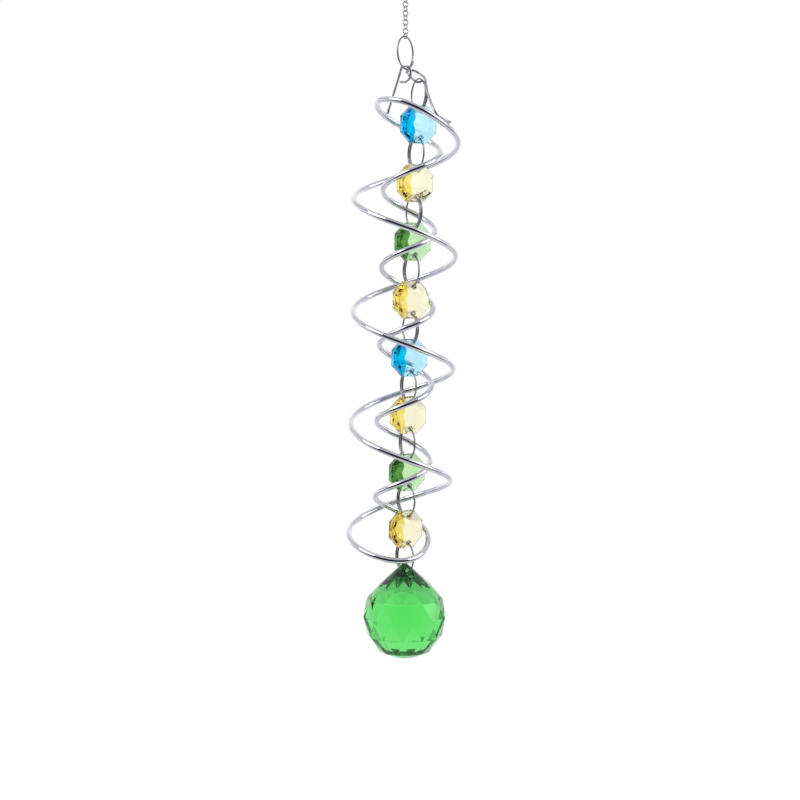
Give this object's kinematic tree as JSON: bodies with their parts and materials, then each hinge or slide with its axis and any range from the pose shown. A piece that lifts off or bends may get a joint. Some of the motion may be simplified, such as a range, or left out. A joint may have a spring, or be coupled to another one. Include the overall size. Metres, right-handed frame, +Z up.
{
  "type": "wind spinner",
  "caption": "Hanging wire spiral with a string of octagonal crystal beads and a faceted crystal ball inside it, on a fine chain with a barrel swivel and a ring to hang it by.",
  "frame": {"origin": "the hang point: the inner top of the hang ring's wire, where a hook or branch holds it", "axes": "+Z up, -Y the front, +X to the viewer's right"},
  "size_m": [0.0413, 0.0389, 0.2666],
  "materials": {
    "polished_steel": "polished plated steel",
    "chain_steel": "bright plated chain wire",
    "ring_steel": "grey nickel plated split rings",
    "spiral_chrome": "mirror bright plated wire",
    "blue_crystal": "cut and polished clear blue crystal",
    "yellow_crystal": "cut and polished clear yellow crystal",
    "green_crystal": "cut and polished clear green crystal",
    "emerald_crystal": "cut and polished clear emerald green crystal"
  },
  "bodies": {
    "hook_ring": {"hang_ring": "polished_steel"},
    "swivel": {"swivel_upper_eye": "polished_steel", "swivel_barrel": "polished_steel"},
    "swivel_eye": {"swivel_lower_eye": "polished_steel"},
    "link_01": {"chain_link_01": "chain_steel"},
    "link_02": {"chain_link_02": "chain_steel"},
    "link_03": {"chain_link_03": "chain_steel"},
    "link_04": {"chain_link_04": "chain_steel"},
    "link_05": {"chain_link_05": "chain_steel"},
    "link_06": {"chain_link_06": "chain_steel"},
    "link_07": {"chain_link_07": "chain_steel"},
    "link_08": {"chain_link_08": "chain_steel"},
    "link_09": {"chain_link_09": "chain_steel"},
    "link_10": {"chain_link_10": "chain_steel"},
    "top_ring": {"top_split_ring": "ring_steel"},
    "spiral": {"spiral_wire": "spiral_chrome", "hanger_wire_back": "spiral_chrome", "hanger_wire_front": "spiral_chrome"},
    "ring_1": {"split_ring_1": "ring_steel"},
    "bead_1": {"bead_1_blue": "blue_crystal"},
    "ring_2": {"split_ring_2": "ring_steel"},
    "bead_2": {"bead_2_yellow": "yellow_crystal"},
    "ring_3": {"split_ring_3": "ring_steel"},
    "bead_3": {"bead_3_green": "green_crystal"},
    "ring_4": {"split_ring_4": "ring_steel"},
    "bead_4": {"bead_4_yellow": "yellow_crystal"},
    "ring_5": {"split_ring_5": "ring_steel"},
    "bead_5": {"bead_5_blue": "blue_crystal"},
    "ring_6": {"split_ring_6": "ring_steel"},
    "bead_6": {"bead_6_yellow": "yellow_crystal"},
    "ring_7": {"split_ring_7": "ring_steel"},
    "bead_7": {"bead_7_green": "green_crystal"},
    "ring_8": {"split_ring_8": "ring_steel"},
    "bead_8": {"bead_8_yellow": "yellow_crystal"},
    "ring_9": {"split_ring_9": "ring_steel"},
    "ball": {"crystal_ball": "emerald_crystal"}
  },
  "joints": [
    {"name": "swivel_swing", "type": "hinge", "parent": "hook_ring", "child": "swivel", "pos_m": [0, 0, -0.0142], "axis": [1, 0, 0], "range_deg": [-45, 45]},
    {"name": "swivel_spin", "type": "hinge", "parent": "swivel", "child": "swivel_eye", "pos_m": [0, 0, -0.02415], "axis": [0, 0, 1], "continuous": true},
    {"name": "link_01_hinge", "type": "hinge", "parent": "swivel_eye", "child": "link_01", "pos_m": [0, 0, -0.02875], "axis": [0.5446, -0.8387, 0], "range_deg": [-10, 10]},
    {"name": "link_02_hinge", "type": "hinge", "parent": "link_01", "child": "link_02", "pos_m": [0, 0, -0.03008], "axis": [0.8387, 0.5446, 0], "range_deg": [-10, 10]},
    {"name": "link_03_hinge", "type": "hinge", "parent": "link_02", "child": "link_03", "pos_m": [0, 0, -0.03164], "axis": [0.5446, -0.8387, 0], "range_deg": [-10, 10]},
    {"name": "link_04_hinge", "type": "hinge", "parent": "link_03", "child": "link_04", "pos_m": [0, 0, -0.0332], "axis": [0.8387, 0.5446, 0], "range_deg": [-10, 10]},
    {"name": "link_05_hinge", "type": "hinge", "parent": "link_04", "child": "link_05", "pos_m": [0, 0, -0.03476], "axis": [0.5446, -0.8387, 0], "range_deg": [-10, 10]},
    {"name": "link_06_hinge", "type": "hinge", "parent": "link_05", "child": "link_06", "pos_m": [0, 0, -0.03632], "axis": [0.8387, 0.5446, 0], "range_deg": [-10, 10]},
    {"name": "link_07_hinge", "type": "hinge", "parent": "link_06", "child": "link_07", "pos_m": [0, 0, -0.03788], "axis": [0.5446, -0.8387, 0], "range_deg": [-10, 10]},
    {"name": "link_08_hinge", "type": "hinge", "parent": "link_07", "child": "link_08", "pos_m": [0, 0, -0.03944], "axis": [0.8387, 0.5446, 0], "range_deg": [-10, 10]},
    {"name": "link_09_hinge", "type": "hinge", "parent": "link_08", "child": "link_09", "pos_m": [0, 0, -0.041], "axis": [0.5446, -0.8387, 0], "range_deg": [-10, 10]},
    {"name": "link_10_hinge", "type": "hinge", "parent": "link_09", "child": "link_10", "pos_m": [0, 0, -0.04256], "axis": [0.8387, 0.5446, 0], "range_deg": [-10, 10]},
    {"name": "top_ring_hinge", "type": "hinge", "parent": "link_10", "child": "top_ring", "pos_m": [0, 0, -0.04412], "axis": [0.5446, -0.8387, 0], "range_deg": [-20, 20]},
    {"name": "spiral_swing", "type": "hinge", "parent": "top_ring", "child": "spiral", "pos_m": [0, 0, -0.05473], "axis": [0.5, 0.866, 0], "range_deg": [-20, 20]},
    {"name": "ring_1_twist", "type": "hinge", "parent": "spiral", "child": "ring_1", "pos_m": [0.00488, 0, -0.0581], "axis": [0.0209, 0, 0.9998], "range_deg": [-5, 5]},
    {"name": "bead_1_twist", "type": "hinge", "parent": "ring_1", "child": "bead_1", "pos_m": [0.00464, 0, -0.06945], "axis": [0.0209, 0, 0.9998], "range_deg": [-5, 5]},
    {"name": "ring_2_twist", "type": "hinge", "parent": "bead_1", "child": "ring_2", "pos_m": [0.004, 0, -0.07879], "axis": [0.0209, 0, 0.9998], "range_deg": [-5, 5]},
    {"name": "bead_2_twist", "type": "hinge", "parent": "ring_2", "child": "bead_2", "pos_m": [0.00344, 0, -0.09013], "axis": [0.0209, 0, 0.9998], "range_deg": [-5, 5]},
    {"name": "ring_3_twist", "type": "hinge", "parent": "bead_2", "child": "ring_3", "pos_m": [0.00302, 0, -0.09947], "axis": [0.0209, 0, 0.9998], "range_deg": [-5, 5]},
    {"name": "bead_3_twist", "type": "hinge", "parent": "ring_3", "child": "bead_3", "pos_m": [0.00263, 0, -0.11082], "axis": [0.0209, 0, 0.9998], "range_deg": [-5, 5]},
    {"name": "ring_4_twist", "type": "hinge", "parent": "bead_3", "child": "ring_4", "pos_m": [0.00233, 0, -0.12016], "axis": [0.0209, 0, 0.9998], "range_deg": [-5, 5]},
    {"name": "bead_4_twist", "type": "hinge", "parent": "ring_4", "child": "bead_4", "pos_m": [0.00203, 0, -0.13151], "axis": [0.0209, 0, 0.9998], "range_deg": [-5, 5]},
    {"name": "ring_5_twist", "type": "hinge", "parent": "bead_4", "child": "ring_5", "pos_m": [0.00179, 0, -0.14086], "axis": [0.0209, 0, 0.9998], "range_deg": [-5, 5]},
    {"name": "bead_5_twist", "type": "hinge", "parent": "ring_5", "child": "bead_5", "pos_m": [0.00153, 0, -0.1522], "axis": [0.0209, 0, 0.9998], "range_deg": [-5, 5]},
    {"name": "ring_6_twist", "type": "hinge", "parent": "bead_5", "child": "ring_6", "pos_m": [0.00132, 0, -0.16155], "axis": [0.0209, 0, 0.9998], "range_deg": [-5, 5]},
    {"name": "bead_6_twist", "type": "hinge", "parent": "ring_6", "child": "bead_6", "pos_m": [0.00108, 0, -0.1729], "axis": [0.0209, 0, 0.9998], "range_deg": [-5, 5]},
    {"name": "ring_7_twist", "type": "hinge", "parent": "bead_6", "child": "ring_7", "pos_m": [0.00088, 0, -0.18225], "axis": [0.0209, 0, 0.9998], "range_deg": [-5, 5]},
    {"name": "bead_7_twist", "type": "hinge", "parent": "ring_7", "child": "bead_7", "pos_m": [0.00064, 0, -0.19359], "axis": [0.0209, 0, 0.9998], "range_deg": [-5, 5]},
    {"name": "ring_8_twist", "type": "hinge", "parent": "bead_7", "child": "ring_8", "pos_m": [0.00045, 0, -0.20294], "axis": [0.0209, 0, 0.9998], "range_deg": [-5, 5]},
    {"name": "bead_8_twist", "type": "hinge", "parent": "ring_8", "child": "bead_8", "pos_m": [0.00021, 0, -0.21429], "axis": [0.0209, 0, 0.9998], "range_deg": [-5, 5]},
    {"name": "ring_9_twist", "type": "hinge", "parent": "bead_8", "child": "ring_9", "pos_m": [0.00001, 0, -0.22364], "axis": [0.0209, 0, 0.9998], "range_deg": [-5, 5]},
    {"name": "ball_swing", "type": "hinge", "parent": "ring_9", "child": "ball", "pos_m": [-0.00022, 0, -0.23498], "axis": [0.5225, -0.8526, 0], "range_deg": [-20, 20]}
  ]
}
